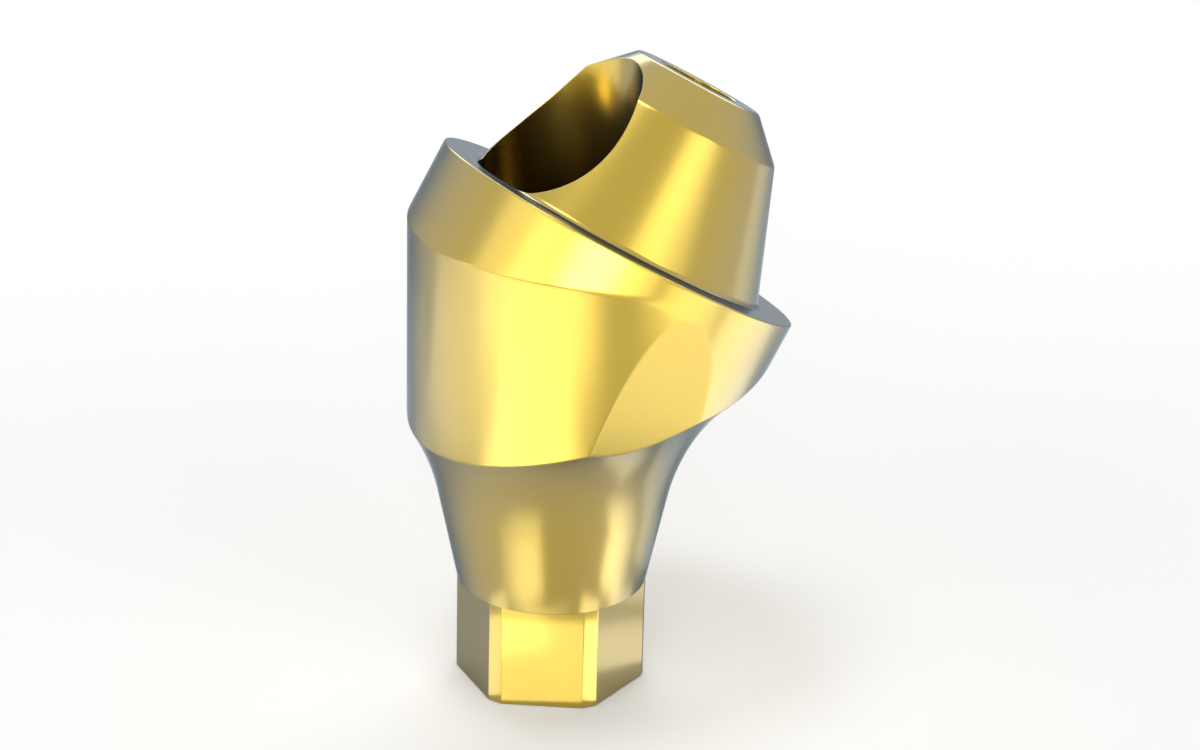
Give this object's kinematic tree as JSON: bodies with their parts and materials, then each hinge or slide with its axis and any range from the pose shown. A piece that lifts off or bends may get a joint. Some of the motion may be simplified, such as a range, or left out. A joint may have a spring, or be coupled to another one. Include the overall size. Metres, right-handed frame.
{
  "type": "dental abutment",
  "caption": "Angled dental abutment in gold-coloured titanium: hexagonal foot, tapered neck, flared body, and a leaning platform and cone cut by the upright screw channel.",
  "frame": {"origin": "centre of the hexagon's lower face, on the implant's axis", "axes": "+Z along the implant's axis towards the prosthesis; +X the way the platform and the cone lean; +Y completes the right-handed frame, across the plane that mirrors the part"},
  "size_m": [0.0047, 0.0048, 0.008],
  "materials": {
    "gold_titanium": "satin, gold-coloured coating"
  },
  "bodies": {
    "root": {"abutment": "gold_titanium"}
  },
  "joints": []
}
